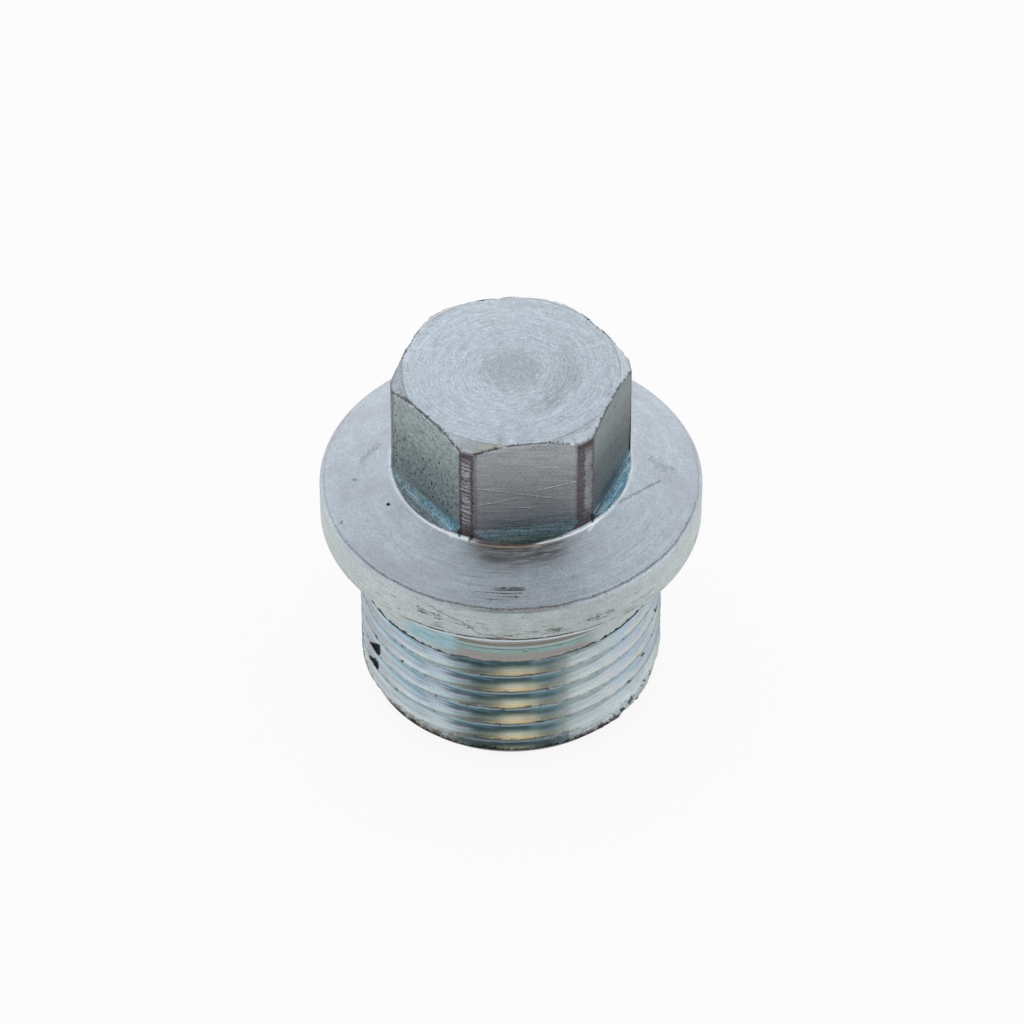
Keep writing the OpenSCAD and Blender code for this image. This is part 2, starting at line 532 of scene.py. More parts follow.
class Nodes:
    """A node tree that is built by expressions."""

    def __init__(self, tree):
        self.tree = tree
        tree.nodes.clear()

    def feed(self, socket, value):
        if isinstance(value, Value):
            value = value.socket
        if isinstance(value, bpy.types.NodeSocket):
            self.tree.links.new(value, socket)
        else:
            socket.default_value = value

    def node(self, kind, settings=None, values=None):
        """Adds a node: its settings first, then the values or links of its sockets."""
        made = self.tree.nodes.new(kind)
        for name, value in (settings or {}).items():
            setattr(made, name, value)
        for socket, value in (values or {}).items():
            self.feed(made.inputs[socket], value)
        return made

    def math(self, operation, *operands, clamp=False):
        settings = {"operation": operation, "use_clamp": clamp}
        return Value(self, self.node("ShaderNodeMath", settings, dict(enumerate(operands))).outputs[0])

    def smooth(self, value, low, high):
        """Rises smoothly from 0 where the value is low to 1 where it is high."""
        values = {"Value": value, "From Min": low, "From Max": high}
        made = self.node("ShaderNodeMapRange", {"interpolation_type": "SMOOTHSTEP"}, values)
        return Value(self, made.outputs[0])

    def vector(self, operation, *operands, result="Vector"):
        """A vector operation."""
        made = self.node("ShaderNodeVectorMath", {"operation": operation}, dict(enumerate(operands)))
        return made.outputs[result]

    def largest(self, first, *others):
        """The largest of several numbers."""
        for other in others:
            first = self.math("MAXIMUM", first, other)
        return first

    def number(self, operation, *operands):
        """A vector operation whose result is a number."""
        return Value(self, self.vector(operation, *operands, result="Value"))

    def point(self, x, y, z):
        return self.node("ShaderNodeCombineXYZ", None, {0: x, 1: y, 2: z}).outputs[0]

    def parts(self, vector):
        """The three numbers of a vector."""
        split = self.node("ShaderNodeSeparateXYZ", None, {0: vector})
        return [Value(self, output) for output in split.outputs]

    def mix(self, factor, first, second):
        """The second colour laid over the first by a factor."""
        values = {MIX_FACTOR: factor, MIX_A: first, MIX_B: second}
        return self.node("ShaderNodeMix", {"data_type": "RGBA"}, values).outputs[MIX_COLOUR]

    def noise(self, place, scale, detail, roughness):
        values = {"Vector": place, "Scale": scale, "Detail": detail, "Roughness": roughness}
        return Value(self, self.node("ShaderNodeTexNoise", None, values).outputs[0])


class Finish(Nodes):
    """A material for one finish, with places on the plug in millimetres."""

    def __init__(self, name):
        self.material = bpy.data.materials.new(name)
        self.material.use_nodes = True
        super().__init__(self.material.node_tree)
        place = self.node("ShaderNodeTexCoord").outputs["Object"]
        self.place = self.scaled(place, 1 / MM)
        self.x, self.y, self.z = self.parts(self.place)
        self.r = self.math("SQRT", self.x * self.x + self.y * self.y)
        self.cos = self.x / self.r
        self.sin = self.y / self.r
        self.angle = self.math("ARCTAN2", self.y, self.x)
        self.ragged = self.patches(5.0, 2.0, 0.5)
        self.grain = self.patches(6.0, 3.0, 0.75)
        # The same two with their middle at 0
        self.waver = self.ragged - 0.5
        self.grit = self.grain - 0.5

    def scaled(self, vector, amount):
        """A vector or a colour times a number."""
        values = {0: vector[:3] if isinstance(vector, tuple) else vector, "Scale": amount}
        return self.node("ShaderNodeVectorMath", {"operation": "SCALE"}, values).outputs[0]

    def patches(self, scale, detail=4.0, roughness=0.7):
        """Patches that run in no direction."""
        return self.noise(self.place, scale, detail, roughness)

    def streaks(self, around, height, detail=3.0, roughness=0.6):
        """Marks that run round the axis, shorter for more around, finer for more height."""
        place = self.point(self.cos * around, self.sin * around, height)
        return self.noise(place, 1.0, detail, roughness)

    def arcs(self, across, around):
        """Turning marks on a coned or flat face: fine across it, long round the axis."""
        return self.streaks(around, self.r * across + self.z * across)

    def level(self, along, height, detail=3.0, roughness=0.7):
        """Marks that run level over the head, shorter for more along, finer for more height."""
        place = self.point(self.x * along, self.y * along, height)
        return self.noise(place, 1.0, detail, roughness)

    def band(self, value, middle, half, soft):
        """Is 1 within half of the middle, and fades to 0 over the soft width."""
        return self.smooth(abs(value - middle), half + soft, half)

    def dots(self, scale, size, share):
        """Small round pits: a share of the cells of a scale has one of that size."""
        cell = self.node("ShaderNodeTexVoronoi", None, {"Vector": self.place, "Scale": scale})
        chance = self.parts(cell.outputs["Color"])[0]
        away = Value(self, cell.outputs["Distance"]) + self.waver * size * scale
        return self.smooth(away, size * scale, size * scale * 0.5) * (chance > 1 - share)

    def scratch(self, start, end, width, raggedness):
        """A scratch between two points, with ragged sides."""
        run = Vector(end) - Vector(start)
        offset = self.vector("SUBTRACT", self.place, tuple(start))
        along = self.math(
            "MULTIPLY", self.number("DOT_PRODUCT", offset, tuple(run)), 1 / run.length_squared, clamp=True
        )
        offset = self.vector("SUBTRACT", offset, self.scaled(tuple(run), along))
        return self.mark(offset, width, raggedness)

    def scratches(self, lines, width, raggedness):
        """Several scratches of one width."""
        return self.largest(0.0, *(self.scratch(*ends, width, raggedness) for ends in lines))

    def spots(self, places, size, raggedness):
        """Round marks of one size at several places."""
        offsets = [self.vector("SUBTRACT", self.place, place) for place in places]
        return self.largest(0.0, *(self.mark(offset, size, raggedness) for offset in offsets))

    def mark(self, offset, size, raggedness):
        """Is 1 within a size of a mark's middle, with a ragged edge, by the offset from it."""
        edge = self.number("LENGTH", offset) + self.waver * (raggedness * 4 * size)
        return self.smooth(edge, size * 1.3, size * 0.5)

    def across_flat(self):
        """Distance from the axis, square to the nearest flat."""
        sixth = math.tau / 6
        return self.r * self.math("COSINE", self.angle % sixth - sixth / 2)

    def head_edge(self):
        """Distance inwards from the nearest flat, on the top of the head."""
        s = sizes()
        distance = s.flat_distance / MM
        across = self.across_flat()
        deep_across = self.x * math.cos(DEEP_FLAT) + self.y * math.sin(DEEP_FLAT)
        return self.math("MINIMUM", distance - across, distance - s.deep_cut / MM - deep_across)

    def surface(self, base, roughness, height, anisotropic=0.0):
        """Joins colour, roughness and height in millimetres to the shader."""
        bump = self.node("ShaderNodeBump", None, {"Strength": 1.0, "Distance": MM, "Height": height})
        shader = self.node(
            "ShaderNodeBsdfPrincipled",
            None,
            {
                "Base Color": base,
                "Roughness": roughness,
                "Metallic": 1.0,
                "Anisotropic": anisotropic,
                "Normal": bump.outputs[0],
            },
        )
        self.node("ShaderNodeOutputMaterial", None, {"Surface": shader.outputs[0]})
        return self.material


def faced_top():
    """The top face: fine rings from facing, a mottled centre and a stained, ragged edge."""
    f, c = Finish("faced top"), colours()
    wobble = f.patches(0.7, 2.0, 0.5)
    radius = f.r + wobble * 0.3
    rings = f.math("SINE", radius * (math.tau / 0.25))
    fine = f.arcs(10.0, 4.0)
    blotch = f.patches(1.3)
    broken = f.smooth(f.patches(0.9, 3.0, 0.5), 0.4, 0.6)
    ringed = (f.smooth(f.r, 6.6, 5.6) * f.smooth(f.r, 2.2, 3.6) + 0.1) * (0.2 + broken * 0.8)
    centre = f.smooth(f.r + (blotch - 0.5) * 2.0, 3.4, 1.6)
    light = 1.04 + rings * ringed * 0.06 + (fine - 0.5) + f.grit * 1.1
    light = light + (blotch - 0.5) * 0.35 + f.waver * 0.35
    light = light - centre * f.smooth(f.grain, 0.42, 0.56) * 0.32
    light = light - f.band(radius, 4.8, 0.8, 0.9) * f.smooth(f.x - f.y * 0.6, 2.0, 6.0) * 0.16
    light = light + f.smooth(f.x, 1.0, -6.0) * 0.07
    base = f.scaled(c.zinc, light)
    warm = f.smooth(f.patches(0.9, 3.0, 0.5), 0.55, 0.7)
    base = f.mix(warm * 0.35, base, c.mauve)
    specks = f.dots(2.2, 0.06, 0.35)
    base = f.mix(specks * 0.5, base, c.stain)
    edge = f.head_edge()
    patchy = f.patches(0.8, 3.0, 0.6)
    lip = f.smooth(edge + f.ragged * 0.6 - patchy * 0.3, 0.32, 0.16) * f.smooth(patchy, 0.28, 0.42)
    line = f.band(f.r + f.ragged * 0.2, 9.44, 0.02, 0.05) * f.smooth(edge, 0.2, 0.5)
    base = f.mix(line * 0.5, base, c.stain)
    base = f.mix(lip * 0.9, base, c.stain)
    height = fine * 0.010 + rings * ringed * 0.002 + f.grain * 0.004 - specks * 0.02
    return f.surface(base, 0.36 + f.grain * 0.1, height, anisotropic=0.3)


# Single marks stand in millimetres: a scratch or a scuff as its two ends, a pit or a dot as a point
CHAMFER_RUB = ((-4.3, -9.4, 33.95), (-2.6, -9.4, 34.4))


def corner_chamfer():
    """The turned chamfer over the corners: rubbed, with scratches and a stained edge."""
    f, c = Finish("corner chamfer"), colours()
    fine = f.arcs(9.0, 3.0)
    blotch = f.patches(1.4)
    light = 1.02 + (fine - 0.5) + f.grit * 0.9 + f.waver * 0.25
    light = light - f.smooth(f.x, -6.5, -9.0) * 0.3
    base = f.scaled(c.zinc, light)
    base = f.mix(f.smooth(blotch, 0.45, 0.7) * 0.4, base, f.scaled(c.mauve, 1.15))
    lip = f.smooth(f.head_edge() + f.ragged * 0.5, 0.42, 0.28)
    outer = f.smooth(f.r + f.ragged * 0.3, 10.36, 10.46)
    rub = f.scratch(*CHAMFER_RUB, 0.28, 0.8) * f.smooth(f.grain, 0.40, 0.52) * 0.6
    dark = f.largest(lip * f.smooth(blotch, 0.32, 0.46), outer * 0.8)
    base = f.mix(dark * 0.85, base, c.stain)
    base = f.mix(rub, base, f.scaled(c.stain, 0.5))
    return f.surface(base, 0.38, fine * 0.012 + f.grain * 0.005, anisotropic=0.2)


FRONT_SCRATCHES = (
    ((-4.22, -9.35, 30.04), (2.29, -9.35, 28.10)),
    ((-4.23, -9.35, 28.03), (-0.71, -9.35, 28.50)),
    ((1.09, -9.35, 29.19), (4.86, -9.35, 29.83)),
    ((-0.71, -9.35, 27.40), (0.49, -9.35, 27.15)),
)
FRONT_LOW_LINE = ((-2.26, -9.35, 25.59), (3.77, -9.35, 25.97))
EDGE_RUB = ((-4.4, -9.35, 33.8), (-2.5, -9.35, 34.4))
FLAT_PITS = (
    (-9.69, -1.62, 26.85),
    (-9.26, -2.37, 27.25),
    (-7.05, -6.19, 30.43),
    (-8.26, -4.09, 27.55),
    (-7.70, -5.07, 28.05),
    (-8.41, -3.83, 26.38),
    (-7.87, -4.84, 24.95),
    (-7.50, -5.40, 25.74),
    (8.35, -4.24, 33.13),
    (7.54, -5.64, 25.18),
)


def milled_colour(f):
    """The flats and the cutter's radius below them: one run of colour, with its lines."""
    c = colours()
    distance = sizes().flat_distance / MM
    height = f.z - (f.across_flat() - distance)
    left = f.smooth(f.x, -4.4, -5.2)
    right = f.smooth(f.x, 5.0, 5.8)
    sides = left + right
    lines = f.level(0.3, height * 6.0 + f.x * 0.7)
    sweep = f.level(0.2, height * 1.5 + f.x * 0.3, 2.0, 0.5)
    blotch = f.patches(1.1)
    mottle = f.level(2.2, f.z * 1.6, 4.0, 0.8)
    # Painted shade: the flats darker towards their foot, and the right flat darker than the rest.
    painted_shade_low = f.smooth(f.z, 34.6, 28.0)
    light = 1.02 - painted_shade_low * (0.30 - left * 0.03) - right * 0.31
    contrast = (lines - 0.5) * (0.95 - sides * 0.6) + (sweep - 0.5) * 0.4 + f.grit * 1.1
    contrast = contrast + (mottle - 0.5) * (0.35 + sides * 0.55 + left * 0.5)
    contrast = contrast + f.waver * (0.3 + left * 0.3)
    light = light * (1.0 + contrast)
    greener = tuple(v * w for v, w in zip(c.milled, (0.89, 1.04, 0.99, 1.0)))
    base = f.mix(sides * 0.8, c.milled, greener)
    base = f.mix(f.smooth(mottle, 0.56, 0.7) * (1.0 - sides) * 0.3, base, c.corner)
    base = f.scaled(base, light)
    wave = height + (blotch - 0.5) * (1.4 + sides * 1.2) + (lines - 0.5) * 1.2
    across = (f.x + 5.0) * -0.13 * left + right * 0.6 - f.x * 0.05
    teal = f.smooth(wave + across + (1.0 - sides) * 0.35 - left * 0.2, 26.0, 25.0)
    tint = f.mix(left, f.scaled(c.navy, 0.76), f.scaled(c.azure, 0.82))
    tint = f.mix(right, tint, f.scaled(c.azure, 0.44))
    # Painted light along the cutter's radius: glints lighter at the right end of the flats, and lighter
    # towards the middle of the left flat.
    ends = f.smooth(f.x, 8.0, 9.6) * 0.6 + (f.smooth(f.x, -9.6, -6.8) * 0.55 - 0.28) * left
    tint = f.scaled(tint, 1.0 + contrast * 2.0 + ends)
    base = f.mix(teal * 0.88, base, tint)
    low = f.smooth(wave + right * 0.1 + (1.0 - sides) * 0.6, 24.4, 23.6)
    under = f.mix(right, f.scaled(c.navy, 0.5), c.azure)
    under = f.mix(left, under, c.olive)
    base = f.mix(low * (0.62 + sides * 0.15), base, f.scaled(under, 1.0 + contrast * 1.3))
    streak = f.smooth(lines + f.grit * 0.3 + right * 0.02, 0.54, 0.66) * teal
    streak = streak * (sides * 0.6 + 0.2) * (1.0 - low * left * 0.6)
    base = f.mix(streak, base, f.scaled(c.sky, 0.72 + sides * 0.2))
    dark_specks = f.smooth(f.patches(3.6, 3.0, 0.8) + (lines - 0.5) * -0.3, 0.57, 0.65) * teal
    base = f.mix(dark_specks * (0.5 + sides * 0.3), base, c.soot)
    return base, lines, blotch, left


def milled_flat():
    """The milled flats: sweeping cutter lines, scratches, pits and a darker foot."""
    f, c = Finish("milled flat"), colours()
    s = sizes()
    base, lines, blotch, left = milled_colour(f)
    pitted = left * f.smooth(f.y, 0.6, -0.6)
    specks = f.dots(2.1, 0.09, 0.75) * (0.25 + pitted * 0.75)
    cluster = f.smooth(f.patches(0.5, 2.0, 0.5) + pitted * 0.08, 0.44, 0.54)
    fine_specks = f.dots(3.3, 0.07, 0.85) * (0.3 + pitted * 0.7)
    sharp = f.smooth(f.patches(3.0, 3.0, 0.75), 0.575, 0.635)
    middle = f.band(f.z, 27.6, 1.6, 1.6) * pitted
    lower_right = f.smooth(f.x, 5.0, 5.8) * f.smooth(f.z, 31.5, 29.5) * f.smooth(f.y, 0.6, -0.6)
    pits = f.largest(
        specks * cluster,
        f.spots(FLAT_PITS, 0.13, 0.6),
        fine_specks * 0.75,
        sharp * (middle * 0.9 + pitted * 0.25 + lower_right * 0.55),
    )
    bright = f.scratches(FRONT_SCRATCHES, 0.07, 0.3) * f.smooth(f.grain, 0.36, 0.54)
    drop = Vector((0, 0, 0.14))
    shadow = f.scratches([(Vector(a) - drop, Vector(b) - drop) for a, b in FRONT_SCRATCHES], 0.07, 0.3)
    low_line = f.scratch(*FRONT_LOW_LINE, 0.14, 1.0)
    base = f.mix(shadow * 0.32, base, c.soot)
    base = f.mix(bright * 0.5, base, c.pale)
    base = f.mix(low_line * 0.6, base, c.navy)
    reach = f.largest(f.r, s.top_radius / MM) - s.top_radius / MM
    slope = s.chamfer_drop / (s.corner_radius - s.top_radius)
    below = s.total_height / MM - reach * slope - f.z
    ragged_line = f.smooth(below + (blotch - 0.5) * 0.7 + f.waver * 0.5, 0.24, 0.09)
    rub = f.scratch(*EDGE_RUB, 0.3, 1.0) * f.smooth(f.grain + f.ragged, 0.94, 1.06) * 0.6
    # A painted highlight: a thin bright line under the top edge of the left flat.
    highlight_line = f.band(below + f.waver * 0.15, 0.36, 0.05, 0.06) * f.smooth(blotch, 0.4, 0.55)
    base = f.mix(highlight_line * left * 0.7, base, c.pale)
    base = f.mix(ragged_line * 0.9, base, c.stain)
    base = f.mix(rub, base, f.scaled(c.stain, 0.5))
    side = f.smooth(f.r + f.ragged * 0.3, 10.38, 10.46)
    base = f.mix(side * 0.6, base, c.corner)
    base = f.mix(pits * 0.95, base, c.soot)
    height = lines * 0.008 + f.grain * 0.006 - pits * 0.05 - bright * 0.01
    return f.surface(base, 0.36 + f.grain * 0.08, height, anisotropic=0.3)


# The colour of the painted highlights round the foot and at the corners' feet.
FOOT_BRIGHT = (0.85, 0.90, 0.93, 1.0)
CORNER_BURRS = (
    ((-5.70, -8.68, 24.1), (-5.62, -8.73, 24.4)),
    ((-4.84, -9.27, 24.0), (-4.70, -9.30, 24.3)),
    ((5.88, -8.55, 24.1), (5.80, -8.55, 24.9)),
    ((-10.38, 0.62, 24.1), (-10.36, 0.5, 24.9)),
)


def cutter_radius():
    """The radius that the milling cutter left at the foot of each flat."""
    f, c = Finish("cutter radius"), colours()
    base, lines, _, _ = milled_colour(f)
    specks = f.dots(2.4, 0.08, 0.7)
    base = f.mix(specks * 0.7, base, c.soot)
    # A painted highlight round the foot.
    base = f.mix(foot_light(f) * 0.9, base, FOOT_BRIGHT)
    base = f.mix(f.scratches(CORNER_BURRS, 0.16, 0.8) * 0.9, base, c.soot)
    return f.surface(base, 0.34 + f.grain * 0.08, lines * 0.01)


def foot_light(f):
    """A painted highlight: the bright line round the turned foot, away from its warm front."""
    ring = f.band(f.r + f.waver * 0.08, 10.50, 0.035, 0.035)
    # Where the painted highlight on the fillet is strongest: the left and right front.
    lit_and_rubbed = f.smooth(f.x, -9.4, -7.6) * f.smooth(f.x, -4.3, -5.0)
    lit_and_rubbed = f.largest(lit_and_rubbed, f.smooth(f.x, 0.0, 1.4) * f.smooth(f.x, 7.4, 6.2))
    strength = f.smooth(f.grain, 0.3, 0.46) * (0.3 + lit_and_rubbed * f.smooth(f.y, -3.0, -5.0) * 0.7)
    return ring * strength * (1.0 - f.band(f.x, -1.9, 2.1, 0.9) * f.smooth(f.y, -7.0, -9.0))


def turned_corner():
    """The corners left by turning: a grey-brown film, with a paler, serrated band."""
    f, c = Finish("turned corner"), colours()
    sixth = math.tau / 6
    from_corner = ((f.angle + sixth / 2) % sixth - sixth / 2) * f.r
    rough = f.level(0.9, f.z * 3.6, 3.0, 0.75)
    blotch = f.level(2.0, f.z * 0.6)
    waves = f.math("SINE", (f.z + from_corner * 0.22 + (rough - 0.5) * 0.7) * (math.tau / 0.5))
    right = f.smooth(f.x, -1.0, 1.0)
    uneven = f.level(0.6, f.z * 5.5 + from_corner * 0.4, 2.0, 0.7)
    teeth = f.smooth(waves * 0.25 + (uneven - 0.5) * 6.0 + f.grit * 2.5, -0.7, 0.9)
    inner = from_corner + f.waver * 0.4 + (rough - 0.5) * (0.5 + right * 0.5)
    pale = f.band(inner - right * 0.21, 0.06, 0.30, 0.2)
    pale = pale * f.smooth(f.z + blotch * 2.0, 24.9, 28.0) * f.smooth(f.z + (blotch - 0.5), 33.6, 32.2)
    light = 1.0 + (blotch - 0.5) * 1.3 + f.grit * 1.8 + (waves * 0.12 + (rough - 0.5) * 0.9)
    base = f.scaled(c.corner, light * (0.80 + right * 0.20))
    smooth_band = 0.60 + (blotch - 0.5) * 1.1 + f.grit * 0.9
    toothed = 0.25 + teeth * 0.72 + f.grit
    pale_film = f.mix(right * 0.7, c.mauve, c.milled)
    film = f.scaled(pale_film, toothed * (1.0 - right * 0.9) + smooth_band * (right * 1.05))
    base = f.mix(pale * 0.92, base, film)
    cut = f.smooth(abs(inner), 0.68, 0.78) * (1.0 - right)
    base = f.mix(cut * 0.6, base, f.scaled(c.milled, 0.75))
    top_stain = f.smooth(f.z + (blotch - 0.5) * 0.8, 33.0, 33.4) * f.smooth(f.x, -4.0, 4.0)
    base = f.mix(top_stain * 0.75, base, c.stain)
    low_dark = f.smooth(f.z + (blotch - 0.5) * 1.4, 26.2, 24.6)
    base = f.mix(low_dark * 0.5, base, c.stain)
    burrs = f.scratches(CORNER_BURRS, 0.2, 0.8)
    base = f.mix(burrs * 0.9, base, c.soot)
    return f.surface(base, 0.42, teeth * pale * (1.0 - right) * 0.02 + f.grain * 0.012)


# Painted highlights where the corners meet the collar, each as its two ends.
CORNER_LIGHTS = (
    ((-5.50, -8.95, 23.95), (-5.05, -9.22, 23.93)),
    ((-6.60, -8.25, 23.93), (-5.75, -8.85, 23.9)),
    ((5.43, -9.3, 23.8), (6.0, -8.75, 23.93)),
    ((6.0, -8.75, 23.93), (6.35, -8.45, 23.93)),
)
CONE_SCUFFS = (
    ((-4.68, -14.38, 22.46), (-1.27, -14.54, 22.63)),
    ((-3.73, -14.92, 22.38), (-1.78, -15.12, 22.43)),
)
CONE_DOTS = (
    (-11.18, -3.47, 23.56),
    (-13.57, 0.53, 22.96),
    (-15.33, -3.88, 22.24),
)
CONE_SCRATCH = (
    ((7.63, -6.85, 23.90), (9.76, -5.46, 23.73)),
    ((9.76, -5.46, 23.73), (12.53, -3.46, 23.14)),
)
CONE_FAINT = (
    ((-12.60, 2.70, 23.18), (-11.12, 4.05, 23.52)),
    ((12.2, -0.9, 23.35), (13.1, -2.0, 23.1)),
    ((12.7, -1.6, 23.2), (13.9, -1.9, 22.8)),
)


def collar_cone():
    """The coned top of the collar: turned, scuffed, with a mauve cast and a brown outer edge."""
    f, c = Finish("collar cone"), colours()
    broad = f.arcs(1.6, 2.2)
    rings = f.arcs(5.0, 3.0)
    fine = f.arcs(11.0, 6.0)
    blotch = f.patches(1.2)
    cloud = f.patches(0.25, 3.0, 0.5)
    front = f.smooth(f.y, -6.0, -10.5)
    middle = f.band(f.x, -0.8, 3.0, 4.5) * front
    ringed = 0.55 + front * 0.45
    # Painted reflection: the cone darker in the middle of its front, where it mirrors the head's front
    # flat.
    light = 1.0 - middle * 0.2 + (broad - 0.5) * 0.16
    light = light + ((rings - 0.5) * 0.4 + (fine - 0.5) * 0.5) * ringed
    light = light + f.grit * 0.9 + (blotch - 0.5) * 0.35 + f.waver * 0.3
    base = f.scaled(c.zinc, light)
    base = f.mix(f.smooth(cloud, 0.44, 0.62) * 0.45, base, c.mauve)
    # Painted reflection of the head's front flat: dark grey-brown streaks on the cone just in front of the
    # head, with lighter streaks in them.
    near = f.smooth(f.r + (cloud - 0.5) * 2.0, 13.4, 11.2) * f.band(f.x, -0.6, 2.6, 2.2) * front
    streaks = f.smooth(rings, 0.4, 0.56)
    base = f.mix(near * (0.35 + streaks * 0.55), base, f.scaled(c.corner, 1.1))
    base = f.mix(near * f.smooth(fine, 0.55, 0.7) * 0.4, base, c.rim)
    # Painted glints: light arcs along the turning marks at the front right.
    arcs = f.smooth(fine, 0.56, 0.64) * f.band(f.x, 2.5, 2.5, 2.0) * front * f.smooth(f.r, 12.6, 11.4)
    base = f.mix(arcs * 0.7, base, c.pale)
    # The fillet at the foot carries a painted highlight: pale at the sides, gold at the front, with the
    # painted foot and corner highlights.
    fillet = f.band(f.r + f.waver * 0.08, 10.64, 0.05, 0.05) * f.smooth(rings, 0.25, 0.5)
    tan_part = f.band(f.x, -1.6, 2.2, 1.2) * front
    dark_foot = f.smooth(f.r, 10.56, 10.5) * tan_part
    base = f.mix(fillet * (1.0 - tan_part) * 0.4, base, c.pale)
    base = f.mix(fillet * tan_part * 0.7, base, c.gold)
    base = f.mix(dark_foot * 0.8, base, c.stain)
    base = f.mix(foot_light(f) * 0.95, base, FOOT_BRIGHT)
    base = f.mix(f.scratches(CORNER_LIGHTS, 0.12, 0.9), base, FOOT_BRIGHT)
    base = f.mix(f.scratches(CORNER_BURRS, 0.17, 0.8) * 0.9, base, c.soot)
    scuff_area = f.scratches(CONE_SCUFFS, 0.36, 0.5)
    scuffs = scuff_area * f.smooth(f.arcs(9.0, 2.0) + f.grit * 0.3, 0.49, 0.57)
    base = f.mix(scuffs * 0.85, base, c.soot)
    marks = f.spots(CONE_DOTS, 0.18, 1.2)
    base = f.mix(marks * 0.5, base, c.stain)
    base = f.mix(f.spots(CONE_DOTS[:1], 0.2, 0.1), base, c.soot)
    brown = f.scratches(CONE_SCRATCH, 0.12, 0.9) * (0.3 + f.smooth(f.grain, 0.38, 0.52) * 0.7)
    base = f.mix(brown * 0.5, base, c.stain)
    faint = f.scratches(CONE_FAINT, 0.34, 0.8) * f.smooth(f.grain, 0.46, 0.56)
    base = f.mix(faint * 0.5, base, c.stain)
    specks = f.dots(1.6, 0.07, 0.4)
    base = f.mix(specks * 0.4, base, c.stain)
    patchy = f.patches(0.6, 3.0, 0.5)
    rim = f.band(f.r + f.waver * 0.22 + (patchy - 0.5) * 0.3, 16.33, 0.05, 0.07)
    strong = f.smooth(f.y, 4.0, -16.0) * 0.45 + f.smooth(f.ragged, 0.46, 0.6) * 0.25
    base = f.mix(rim * strong, base, c.stain)
    height = (rings * 0.008 + fine * 0.004) * ringed + f.grain * 0.004 - scuffs * 0.02
    return f.surface(base, 0.33 + f.grain * 0.08, height, anisotropic=0.45)


RIM_SCRATCHES = (
    ((-11.27, -12.26, 22.3), (-8.15, -14.52, 20.93)),
    ((-8.15, -14.52, 20.93), (-6.37, -15.38, 20.33)),
    ((-6.37, -15.38, 20.33), (-4.90, -15.91, 19.20)),
)
RIM_SCUFFS = (
    ((-9.65, -13.57, 20.31), (-8.30, -14.44, 20.18)),
    ((1.2, -16.61, 19.6), (1.8, -16.56, 19.3)),
    ((4.6, -16.0, 19.9), (5.2, -15.8, 19.8)),
)


def collar_rim():
    """The straight rim: pale and dull, with dark dashes low on it."""
    f, c = Finish("collar rim"), colours()
    drag = f.streaks(9.0, f.z * 3.4, 4.0, 0.75)
    lines = f.streaks(4.0, f.z * 7.0)
    blotch = f.patches(1.0)
    low = f.smooth(f.z + (blotch - 0.5) * 1.5, 20.6, 19.0)
    left = f.smooth(f.x, -2.0, -9.0)
    front = f.smooth(f.y, -11.0, -15.5)
    right = f.smooth(f.x, 4.0, 9.0)
    # Painted light: the rim lighter towards the left and right, darker in front.
    light = 1.09 + left * 0.09 - front * 0.14 + right * 0.11
    light = light + (lines - 0.5) * 0.5 + f.grit + (blotch - 0.5) * 0.45
    base = f.scaled(c.rim, light)
    dashes = f.smooth(drag + low * 0.03 + low * front * 0.05 + (blotch - 0.5) * 0.12, 0.61, 0.68)
    base = f.mix(dashes * 0.65, base, c.stain)
    torn = f.scratches(RIM_SCRATCHES, 0.09, 0.9)
    scuffed = f.scratches(RIM_SCUFFS, 0.34, 0.9) * f.smooth(drag, 0.42, 0.54)
    base = f.mix(f.largest(torn * 0.5, scuffed * 0.8), base, c.stain)
    # A painted highlight along the rim's lower edge at the front, with a dark line above it.
    lit = f.smooth(f.x, -11.2, -9.4) * f.smooth(f.x, 6.5, 4.0) * f.smooth(f.y, -4.0, -8.0)
    dark_line = f.band(f.z + f.waver * 0.08, 18.74, 0.04, 0.06) * (0.4 + f.smooth(drag, 0.4, 0.5))
    bright_line = f.smooth(f.z, 18.64, 18.58)
    base = f.mix(dark_line * (0.15 + lit * 0.55), base, c.stain)
    base = f.mix(bright_line * lit * 0.85, base, c.pale)
    top_line = f.smooth(f.z + f.waver * 0.2, 21.76, 21.82)
    base = f.mix(top_line * (0.1 + front * 0.35), base, c.brown)
    return f.surface(base, 0.42 + f.grain * 0.08, drag * 0.012 + lines * 0.005, anisotropic=0.2)


